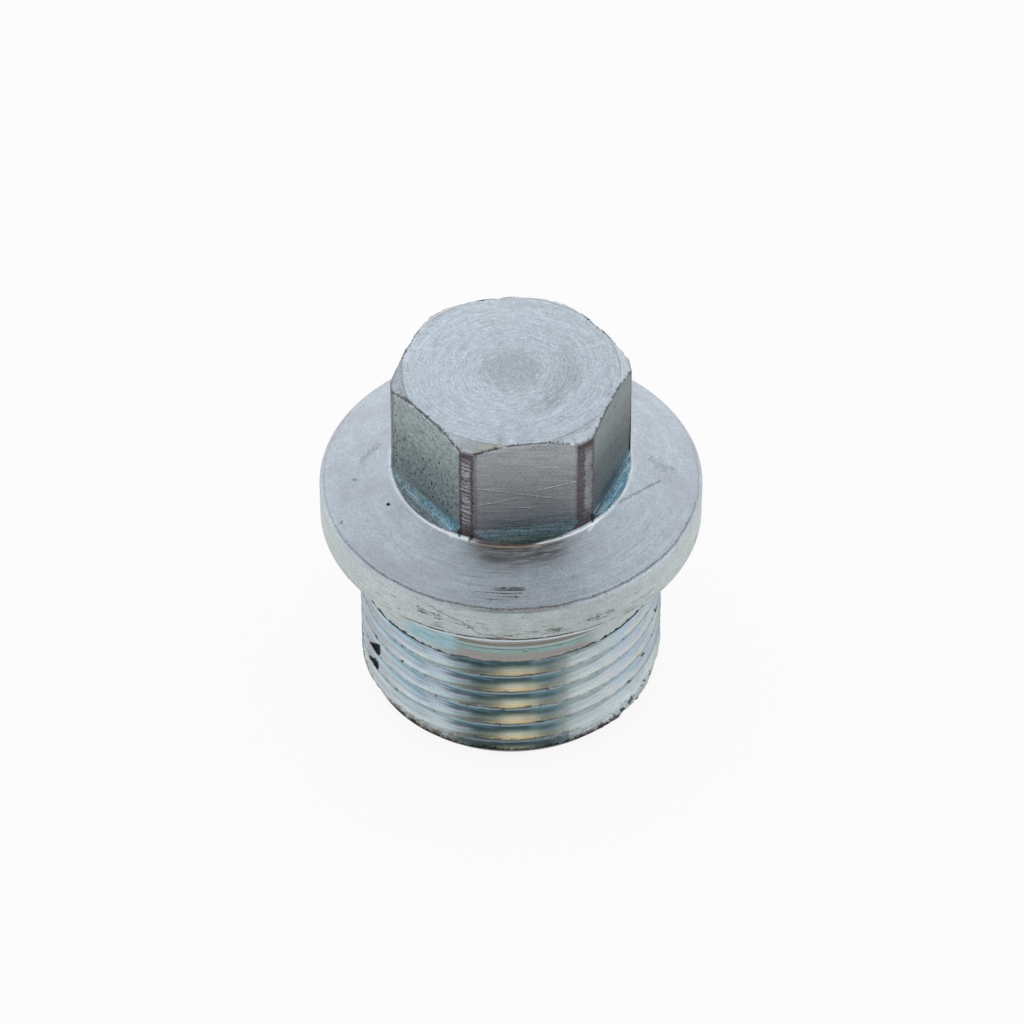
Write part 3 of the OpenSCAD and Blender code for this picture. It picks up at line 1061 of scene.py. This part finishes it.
def band_colour(f):
    """The plain band: lines and teal in front, then beige, and dull zinc at the sides."""
    c = colours()
    lines = f.streaks(5.0, f.z * 6.0)
    front = f.band(f.x, -1.0, 5.0, 3.0) * f.smooth(f.y, -4.0, -9.0)
    height = f.z + (lines - 0.5) * 0.12
    # Teal towards the collar: film, and painted shade under the collar's overhang.
    base = f.mix(f.smooth(height, 13.45, 13.75), c.beige, c.green)
    base = f.mix(f.band(height, 14.16, 0.03, 0.04) * 0.6, base, c.corner)
    base = f.mix(f.band(height, 14.38, 0.06, 0.05) * 0.7, base, c.mauve)
    # Painted shadow: a dark brown line just under the collar, then a painted highlight, paler at the left,
    # at the top of the band.
    base = f.mix(f.smooth(height, 14.5, 14.6) * 0.85, base, f.scaled(c.brown, 1.3))
    under = f.mix(f.smooth(f.x, -1.0, -6.0), c.rim, c.pale)
    base = f.mix(f.smooth(height, 14.86, 14.96) * 0.85, base, f.scaled(under, 0.62))
    side = f.mix(f.smooth(lines, 0.45, 0.65), f.scaled(c.rim, 0.92), c.rim)
    base = f.mix(front, side, base)
    cyan = f.band(f.x, -8.4, 1.3, 1.2) * f.smooth(f.y, -4.0, -7.0) * f.smooth(f.z, 12.4, 13.4)
    base = f.mix(cyan * 0.9, base, f.scaled(c.root, 1.35 + (lines - 0.5)))
    return f.scaled(base, 1.0 + (lines - 0.5) * 0.6 + f.grit * 0.6), lines


def plain_band():
    """The plain band under the collar, and the collar's underside."""
    f = Finish("plain band")
    base, lines = band_colour(f)
    return f.surface(base, 0.34, lines * 0.006, anisotropic=0.2)


def thread_phase(f):
    """Place within a turn of the thread: 0 in the groove, a half on the crest."""
    s = sizes()
    pitch = s.pitch / MM
    groove = (s.seal_height - s.first_turn_drop) / MM - pitch * (GROOVE_HALF + FRONT_TURN)
    return ((f.z - groove) / pitch - f.angle / math.tau + 0.5) % 1.0 - 0.5


def last_edge(f):
    """Height above the upper edge of the last groove, in millimetres."""
    s = sizes()
    pitch = s.pitch / MM
    front_edge = (s.seal_height - s.first_turn_drop) / MM
    run_end = math.radians(120)
    turned = (f.angle - run_end) % math.tau + run_end
    return f.z - front_edge - (turned / math.tau - FRONT_TURN) * pitch


def lead_in_line(f):
    """Height of the lead-in at the radius of each place, in millimetres."""
    s = sizes()
    out = f.r - s.lead_in_bulge / MM
    return f.largest(*(out * slope for slope in lead_in_slopes())) + s.lead_in_knee / MM


def torn_edge(f):
    """The black, torn upper edge of the last groove."""
    rough = f.patches(1.1, 3.0, 0.7)
    aside = f.smooth(abs(f.x + 0.8), 3.5, 8.0)
    reach = f.smooth(rough, 0.34, 0.66) * (0.09 + aside * 0.17)
    front = f.smooth(f.y, -1.0, -4.0)
    near = f.smooth(abs(last_edge(f) - 0.05) - reach, 0.08, 0.01)
    return near * f.smooth(rough, 0.32 - aside * 0.04, 0.42) * front * (0.65 + aside * 0.35)


# The tears that TORN_PLACES cuts at the left, their depths, and smaller marks on the crests
THREAD_CHIPS = (
    ((-12.93, -3.00, 6.29), (-12.32, -3.80, 6.66)),
    ((-12.32, -3.80, 6.66), (-12.38, -4.55, 6.50)),
    ((-13.02, -2.70, 4.31), (-12.52, -3.75, 4.56)),
    ((-12.52, -3.75, 4.56), (-12.52, -4.30, 4.48)),
)
TEAR_DEPTHS = (
    (-12.55, -3.83, 6.38),
    (-12.72, -3.45, 6.34),
    (-12.43, -4.25, 6.48),
    (-12.58, -3.70, 4.40),
    (-12.69, -3.40, 4.48),
)
THREAD_MARKS = (
    ((12.03, -5.40, 9.27), (12.11, -5.30, 9.27)),
    ((10.62, -6.97, 5.51), (10.82, -6.73, 5.49)),
    ((-12.60, -4.25, 8.37), (-12.5, -4.5, 8.3)),
    ((-10.71, -7.78, 8.58), (-10.68, -7.82, 8.6)),
    ((-10.75, -7.82, 12.36), (-10.45, -8.22, 12.45)),
    ((-10.50, -8.15, 12.55), (-10.38, -8.27, 12.6)),
    ((2.55, -13.03, 12.52), (2.95, -12.96, 12.62)),
    ((3.80, -12.73, 12.48), (4.10, -12.65, 12.54)),
    ((11.50, -6.75, 3.15), (11.30, -7.05, 2.95)),
    ((10.80, -7.80, 3.15), (10.45, -8.2, 2.95)),
    ((9.95, -7.90, 1.65), (9.60, -8.35, 1.50)),
    ((9.60, -8.40, 1.50), (9.35, -8.65, 1.45)),
    ((8.75, -9.25, 1.42), (8.45, -9.5, 1.40)),
)


def thread_flank():
    """The thread, with dark, chipped crests and lines along its flanks, and the end face."""
    f, c = Finish("thread"), colours()
    phase = thread_phase(f)
    depth = crest_radius() / MM - f.r
    lines = f.streaks(2.5, phase * 13.0, 3.0, 0.65)
    soft = f.streaks(3.0, f.z * 0.9, 2.0, 0.5)
    blotch = f.patches(1.3)
    front = f.band(f.x, -1.7, 4.0, 2.2) * f.smooth(f.y, -5.0, -8.0)
    shaded = f.band(f.x, -1.4, 6.6, 3.0) * f.smooth(f.y, -4.0, -7.0)
    lit = f.band(f.x, -1.1, 4.0, 1.8) * f.smooth(f.y, -8.0, -11.0)
    left = f.smooth(f.x, -10.0, -12.0)
    # Painted light: the flanks paler at the sides and darker in front.
    outer = f.mix(front, f.scaled(c.pale, 0.84), f.scaled(c.cream, 0.6))
    creamy = f.smooth(soft, 0.40, 0.56) * (1.0 - front) * (0.7 - left * 0.5)
    outer = f.mix(creamy, outer, f.scaled(c.cream, 1.05))
    middle = f.mix(front, f.scaled(c.sky, 1.12), f.scaled(c.sky, 0.62))
    inner = f.mix(shaded * 0.8, f.scaled(c.root, 1.2), c.navy)
    base = f.mix(f.smooth(depth + (lines - 0.5) * 0.5, 0.22, 0.62), outer, middle)
    base = f.mix(f.smooth(depth + (lines - 0.5) * 0.2 + front * 0.13, 0.62, 0.92), base, inner)
    rosy = f.smooth(soft + (lines - 0.5) * 0.4, 0.52, 0.68) * 0.35
    base = f.mix(rosy, base, f.scaled(c.mauve, 1.15 - front * 0.6))
    streaked = f.band(f.x, -6.4, 2.0, 1.6) * f.smooth(f.y, -7.0, -9.0)
    tinted = f.streaks(1.4, phase * 8.0, 2.0, 0.5)
    base = f.mix(streaked * f.smooth(tinted, 0.50, 0.58) * 0.45, base, f.scaled(c.mauve, 1.15))
    base = f.mix(streaked * f.smooth(tinted, 0.46, 0.40) * 0.5, base, f.scaled(c.green, 1.3))
    light = 1.0 + (lines - 0.5) * (1.15 + streaked * 1.6) + f.grit * 0.6 + (soft - 0.5) * 0.35
    warmer = f.band(f.x, 5.2, 1.6, 1.8) * f.smooth(f.y, -5.0, -8.0)
    right = f.smooth(f.x, 4.5, 7.5) * 0.13 + f.smooth(f.x, 9.0, 11.5) * 0.08
    base = f.mix(warmer * 0.4, base, f.scaled(c.cream, 1.15))
    # Painted light: lighter beside the warm highlight in front and a little darker in its middle, and
    # darker towards the sides.
    beside = f.band(f.x, 1.25, 0.8, 1.0) * 0.5 + f.band(f.x, -4.6, 0.9, 1.0) * 0.2
    core = f.band(f.x, -1.7, 1.5, 0.7) * 0.05
    forward = (beside - core) * f.smooth(f.y, -8.0, -10.0)
    base = f.scaled(base, light * (1.0 - left * 0.15 - right + forward))
    # On the crests in front: a painted highlight line (white) on navy.
    on_crest = f.smooth(abs(phase), 0.425, 0.445)
    white = f.smooth(abs(phase), 0.480, 0.494) * lit * 0.75
    crest_side = f.scaled(f.mix(0.35, c.root, c.sky), 0.85 + f.waver * 0.8)
    crest_front = f.mix(white, c.navy, f.scaled(c.pale, 0.72 + f.waver * 0.6))
    base = f.mix(on_crest * 0.85, base, f.mix(lit, crest_side, crest_front))
    # A dark line along the upper edge of each crest: painted shadow, brown in front.
    upper_line = f.band(phase, -0.425, 0.012, 0.02)
    dotted = 0.35 + f.smooth(blotch, 0.46, 0.6) * 0.4
    base = f.mix(upper_line * dotted, base, f.mix(front * 0.7, f.scaled(c.root, 0.7), c.brown))
    spots = f.smooth(blotch + f.smooth(abs(phase), 0.36, 0.44) * 0.15, 0.75, 0.8)
    base = f.mix(spots * 0.8, base, c.stain)
    # Darker towards the lead-in and black at its edge: painted shade of the shadowed floor below, with
    # dark dirt.
    edge = f.z - lead_in_line(f)
    low_left = f.smooth(f.x, -10.8, -9.0) * f.smooth(f.x, -2.0, -5.0) * f.smooth(f.y, 0.0, -4.0)
    reach = edge - lit * 0.35 - low_left * 0.12
    edge_zone = f.smooth(reach + (blotch - 0.5) * 2.4 + f.grit * 0.8, 0.95, 0.35)
    blackest_low = f.smooth(edge + (blotch - 0.5) * 1.8 + f.grit, 0.42, 0.16)
    not_right = f.smooth(f.x, 9.6, 7.6)
    dull = f.smooth(f.z, 4.2, 3.0) * (1.0 - front) * 0.6
    base = f.mix(dull, base, f.scaled(c.rim, 1.22 + (lines - 0.5) * 1.2))
    low_colour = f.mix(lit * 0.6, c.brown, c.navy)
    low_colour = f.scaled(low_colour, (0.2 + f.grain * 2.2) * (0.95 - lit * 0.1))
    base = f.mix(edge_zone * (0.25 + not_right * 0.57), base, low_colour)
    base = f.mix(blackest_low * (0.12 + not_right * 0.78), base, c.soot)
    plain, _ = band_colour(f)
    ended = f.smooth(depth, 0.10, 0.04) * f.smooth(abs(phase), 0.41, 0.39)
    ended = f.largest(ended, f.smooth(last_edge(f), -0.02, 0.02))
    base = f.mix(ended, base, plain)
    # Black in the cut tears: torn metal and painted shade in the cuts; the smaller marks and the torn edge
    # are black marks.
    chips = f.largest(f.scratches(THREAD_CHIPS, 0.2, 0.15), f.spots(TEAR_DEPTHS, 0.3, 0.2))
    marks = f.scratches(THREAD_MARKS, 0.14, 0.6)
    black = f.largest(chips, marks * 0.8, torn_edge(f))
    base = f.mix(black, base, c.soot)
    # The depth leans the flank's light a little outwards, as on a flank with a worn crest
    height = lines * 0.004 + depth * 0.13
    return f.surface(base, 0.17 + f.grain * 0.06 + black * 0.3, height, anisotropic=0.2)


def lead_in_cone():
    """The coned lead-in, stained dark and mottled."""
    f, c = Finish("lead-in"), colours()
    blotch = f.patches(1.6, 4.0, 0.75)
    lines = f.streaks(4.0, f.z * 4.0)
    front = f.smooth(f.y, -4.0, -10.0)
    middle = f.band(f.x, 0.0, 4.0, 3.0) * front
    base = f.mix(front, f.scaled(c.milled, 0.42), f.scaled(c.brown, 0.55))
    base = f.mix(middle, base, f.scaled(c.navy, 0.42))
    base = f.scaled(base, 1.0 + f.grit * 1.8 + (blotch - 0.5) * 1.4 + (lines - 0.5) * 0.8)
    base = f.mix(f.smooth(blotch, 0.5, 0.58) * 0.85, base, c.soot)
    base = f.mix(f.smooth(blotch, 0.40, 0.32) * 0.5, base, f.scaled(c.rim, 0.6))
    low = f.smooth(f.z + (blotch - 0.5) * 1.6, 0.75, 0.2)
    base = f.mix(low * 0.85, base, c.soot)
    return f.surface(base, 0.42, f.grain * 0.02 + blotch * 0.02)


def along_flat(vector):
    """How far a vector reaches in the direction of the flat that it faces."""
    return max(vector.x * math.cos(a) + vector.y * math.sin(a) for a in FLAT_ANGLES)


def dress(piece):
    """Gives each face the finish of the tool that made it, by its place and direction."""
    s = sizes()
    finishes = [
        faced_top(),
        corner_chamfer(),
        milled_flat(),
        cutter_radius(),
        turned_corner(),
        collar_cone(),
        collar_rim(),
        plain_band(),
        thread_flank(),
        lead_in_cone(),
    ]
    piece.data.materials.clear()
    for finish in finishes:
        piece.data.materials.append(finish)
    number = {finish.name: place for place, finish in enumerate(finishes)}
    foot = s.seal_height + s.rim_height + s.cone_rise
    for face in piece.data.polygons:
        centre, normal = face.center, face.normal
        radius = math.hypot(centre.x, centre.y)
        if centre.z > foot - 0.01 * MM and radius < s.corner_radius + s.foot_fillet:
            level_floor = normal.z > 0.99 and centre.z > foot + s.floor_lift / 2
            if normal.z > 0.97 and centre.z > foot + 2 * s.cutter_nose:
                name = "faced top"
            elif centre.z > s.total_height - 1.5 * s.chamfer_drop and normal.z > 0.15:
                name = "corner chamfer"
            elif normal.z < 0.02:
                name = "milled flat" if along_flat(normal) > FACING_FLAT else "turned corner"
            elif level_floor or radius < s.corner_radius:
                name = "cutter radius"
            else:
                name = "collar cone"
        elif centre.z > s.seal_height + s.rim_height - s.edge_break:
            name = "collar cone"
        elif centre.z > s.seal_height and radius > s.collar_radius - s.edge_break:
            name = "collar rim"
        elif centre.z > s.seal_height - s.band_length:
            name = "plain band"
        elif normal.z < -0.2 and centre.z < lead_in_height(radius) + 0.02 * MM:
            name = "lead-in"
        else:
            name = "thread"
        face.material_index = number[name]


def wear_head_edges(piece):
    """Nicks the upper edges of the flats, inwards and downwards only."""
    s = sizes()
    for vertex in piece.data.vertices:
        x, y, z = vertex.co
        if z < s.total_height - 1.2 * MM:
            continue
        if along_flat(vertex.co) < s.flat_distance - s.deep_cut - 0.12 * MM:
            continue
        nick = max(0.0, noise.noise(vertex.co / (0.5 * MM)) + 0.1) * 0.11 * MM
        radius = math.hypot(x, y)
        vertex.co.x -= x / radius * nick
        vertex.co.y -= y / radius * nick
        vertex.co.z -= nick * 0.6


def chip_lead_in(piece):
    """Knocks the edge of the first turn out of line at the right, where it is torn."""
    s = sizes()
    torn_middle, torn_reach = math.radians(-43), math.radians(18)
    inside, lowest, highest = 12.4 * MM, 0.4 * MM, 3.4 * MM
    for vertex in piece.data.vertices:
        x, y, z = vertex.co
        radius = math.hypot(x, y)
        away = abs(math.atan2(y, x) - torn_middle)
        share = min(
            1.0,
            (radius - inside) / (0.3 * MM),
            (z - lowest) / (0.4 * MM),
            (highest - z) / (0.3 * MM),
            (torn_reach - away) / math.radians(5),
        )
        if share > 0.0:
            knock = noise.noise(vertex.co / (0.45 * MM)) * 0.26 * MM + 0.02 * MM
            furthest = s.band_radius + 0.1 * MM
            scale = 1.0 + min(knock * share, furthest - radius) / radius
            vertex.co.x *= scale
            vertex.co.y *= scale


class PLUG_OT_build(bpy.types.Operator):
    """Turns, mills and threads the plug, and gives it its finish"""

    bl_idname = "plug.build"
    bl_label = "Build the plug"

    def execute(self, context):
        s = sizes()
        plug = turned_blank()
        milled_hexagon(plug)
        choose(plug)
        worn = plug.modifiers.new("worn edges", "BEVEL")
        worn.width = s.worn_edge
        worn.segments = 2
        worn.limit_method = "ANGLE"
        worn.angle_limit = math.radians(20)
        worn.use_clamp_overlap = False
        bpy.ops.object.modifier_apply(modifier=worn.name)
        combine(plug, threaded_shank(), "UNION")
        with editing(plug, "SELECT"):
            bpy.ops.mesh.remove_doubles(threshold=WELD)
        choose(plug)
        bpy.ops.object.shade_smooth_by_angle(angle=math.radians(28))
        for vertex in plug.data.vertices:
            vertex.co.z = min(vertex.co.z, s.total_height)
        wear_head_edges(plug)
        chip_lead_in(plug)
        dress(plug)
        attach(plug, "root")
        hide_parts(NODE)
        return {"FINISHED"}


class PLUG_OT_stage(bpy.types.Operator):
    """Sets the plain floor, the studio light and the camera"""

    bl_idname = "plug.stage"
    bl_label = "Set the stage"

    def execute(self, context):
        lay_floor()
        light_studio()
        place_camera()
        context.scene.view_settings.view_transform = "Standard"
        return {"FINISHED"}


FLOOR_WHITE = 0.9
CAMERA_AZIMUTH = math.radians(-8.0)
CAMERA_ELEVATION = math.radians(43.9)
CAMERA_DISTANCE = 0.4995
CAMERA_TARGET = Vector((0, 0, 0.0178))
CAMERA_LENS = 200.9
CAMERA_SHIFT = 0.001


def lay_floor():
    """The pale floor, which looks nearly white in the picture and in reflections."""
    bpy.ops.object.select_all(action="DESELECT")
    bpy.ops.mesh.primitive_plane_add(size=6.0)
    floor = bpy.context.object
    floor.name = "floor"
    material = bpy.data.materials.new("floor")
    material.use_nodes = True
    nodes = Nodes(material.node_tree)
    diffuse = nodes.node("ShaderNodeBsdfDiffuse", None, {"Color": colours().floor})
    white = nodes.node("ShaderNodeEmission", None, {"Color": (1.0, 1.0, 1.0, 1.0), "Strength": 1.0})
    ray = nodes.node("ShaderNodeLightPath").outputs
    seen = Value(nodes, ray["Is Camera Ray"]) + ray["Is Glossy Ray"] + ray["Is Transmission Ray"]
    share = nodes.math("MULTIPLY", seen, FLOOR_WHITE, clamp=True)
    surface = nodes.node(
        "ShaderNodeMixShader", None, {0: share, 1: diffuse.outputs[0], 2: white.outputs[0]}
    )
    nodes.node("ShaderNodeOutputMaterial", None, {"Surface": surface.outputs[0]})
    floor.data.materials.append(material)


def light_studio():
    """Soft light from all sides, a dark room above and behind the camera, and a warm light in it."""
    world = bpy.data.worlds.new("studio")
    bpy.context.scene.world = world
    world.use_nodes = True
    n = Nodes(world.node_tree)
    direction = n.node("ShaderNodeTexCoord").outputs["Generated"]
    turned = n.node(
        "ShaderNodeVectorRotate",
        {"rotation_type": "Z_AXIS"},
        {"Vector": direction, "Angle": -CAMERA_AZIMUTH},
    ).outputs[0]
    x, y, z = n.parts(turned)
    sky = n.mix(n.smooth(z, 0.25, 1.0), (1.05, 1.06, 1.07, 1.0), (0.74, 0.77, 0.81, 1.0))
    room = n.smooth(abs(x + 0.015), 0.43, 0.34) * n.smooth(y, 0.06, -0.06) * n.smooth(z, 0.30, 0.50)
    warm = n.smooth(abs(x + 0.005), 0.14, 0.11) * n.smooth(abs(y + 0.45), 0.24, 0.16)
    sky = n.mix(room, sky, (0.21, 0.25, 0.225, 1.0))
    sky = n.mix(warm, sky, (1.85, 1.5, 1.02, 1.0))
    background = n.node("ShaderNodeBackground", None, {"Color": sky, "Strength": 1.0})
    n.node("ShaderNodeOutputWorld", None, {"Surface": background.outputs[0]})


def place_camera():
    """The camera, in front of the plug, a little to its left and above it."""
    data = bpy.data.cameras.new("camera")
    data.lens = CAMERA_LENS
    data.sensor_width = 36
    data.shift_x = CAMERA_SHIFT
    data.clip_start = 0.01
    camera = bpy.data.objects.new("camera", data)
    bpy.context.scene.collection.objects.link(camera)
    flat = math.cos(CAMERA_ELEVATION)
    back = Vector(
        (math.sin(CAMERA_AZIMUTH) * flat, -math.cos(CAMERA_AZIMUTH) * flat, math.sin(CAMERA_ELEVATION))
    )
    camera.location = CAMERA_TARGET + back * CAMERA_DISTANCE
    camera.rotation_euler = (-back).to_track_quat("-Z", "Y").to_euler()
    bpy.context.scene.camera = camera


class PLUG_PT_panel(bpy.types.Panel):
    """Lists the steps, the sizes and the colours"""

    bl_idname = "PLUG_PT_panel"
    bl_label = "Drain plug"
    bl_space_type = "VIEW_3D"
    bl_region_type = "UI"
    bl_category = "Drain plug"

    def draw(self, context):
        for step in STEPS:
            self.layout.operator(step.bl_idname)
        for group in (context.scene.plug_sizes, context.scene.plug_colours):
            column = self.layout.column()
            for name in group.__annotations__:
                column.prop(group, name)


STEPS = (PLUG_OT_build, PLUG_OT_stage)
CLASSES = (PlugSizes, PlugColours, *STEPS, PLUG_PT_panel)


def register():
    for kind in CLASSES:
        bpy.utils.register_class(kind)
    bpy.types.Scene.plug_sizes = PointerProperty(type=PlugSizes)
    bpy.types.Scene.plug_colours = PointerProperty(type=PlugColours)


def unregister():
    del bpy.types.Scene.plug_colours
    del bpy.types.Scene.plug_sizes
    for kind in reversed(CLASSES):
        bpy.utils.unregister_class(kind)


def main():
    register()
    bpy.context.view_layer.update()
    bpy.ops.plug.build()
    bpy.ops.plug.stage()


if __name__ == "__main__":
    main()
